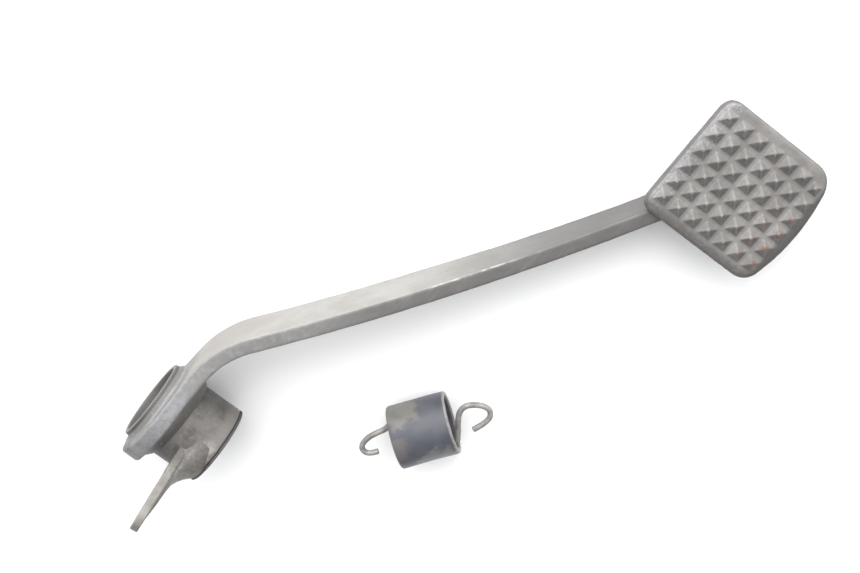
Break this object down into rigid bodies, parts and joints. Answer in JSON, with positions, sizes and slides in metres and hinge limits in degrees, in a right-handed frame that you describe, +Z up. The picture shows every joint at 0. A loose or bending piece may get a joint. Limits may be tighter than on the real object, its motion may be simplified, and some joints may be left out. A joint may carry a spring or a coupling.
{
  "type": "foot brake pedal lever",
  "caption": "Foot brake pedal lever with a pivot tube, a bent flat arm, a studded foot pad and an upright rod lever, beside its hooked return spring in a rubber sleeve.",
  "frame": {"origin": "centre of the object's bounding box, on the surface it lies on", "axes": "+X from the pivot towards the foot pad, +Y inboard along the pivot axis, +Z up"},
  "size_m": [0.2632, 0.1484, 0.0657],
  "materials": {
    "collar_steel": "bare, lightly polished by the bushes",
    "grimy_steel": "dark, greasy, with dried dirt and specks of rust",
    "bush_bronze": "dull",
    "seal_rubber": "matt black",
    "forged_steel": "worn dark plating over forged steel",
    "pad_steel": "worn dark paint, rubbed stud tips with rust",
    "weld_steel": "rough weld under old paint",
    "spring_wire": "dull, brown with age",
    "sleeve_rubber": "black rubber with dried khaki mud"
  },
  "bodies": {
    "collar": {"pivot_collar": "collar_steel"},
    "pedal": {"pivot_tube": "grimy_steel", "bush_inboard": "bush_bronze", "bush_outboard": "bush_bronze", "end_seal": "seal_rubber", "pedal_arm": "forged_steel", "eye_weld": "weld_steel", "eye_boss": "grimy_steel", "foot_pad": "pad_steel", "pad_weld_inboard": "weld_steel", "pad_weld_outboard": "weld_steel", "brake_rod_lever": "forged_steel", "rod_lever_weld": "weld_steel"},
    "spring": {"damper_sleeve": "sleeve_rubber", "spring_coil": "spring_wire", "spring_hook_near": "spring_wire"},
    "spring_end": {"spring_hook_far": "spring_wire"}
  },
  "joints": [
    {"name": "pedal_pivot", "type": "hinge", "parent": "collar", "child": "pedal", "pos_m": [-0.10344, 0.05767, 0.0215], "axis": [0, -1, 0], "range_deg": [0, 12]},
    {"name": "spring_lift", "type": "slide", "parent": "collar", "child": "spring", "axis": [0, 0, 1], "range_m": [0, 0.1]},
    {"name": "spring_stretch", "type": "slide", "parent": "spring", "child": "spring_end", "axis": [0.8339, -0.5519, 0], "range_m": [0, 0.015], "stiffness_N_per_m": 900, "deforming": ["spring_coil"]}
  ]
}
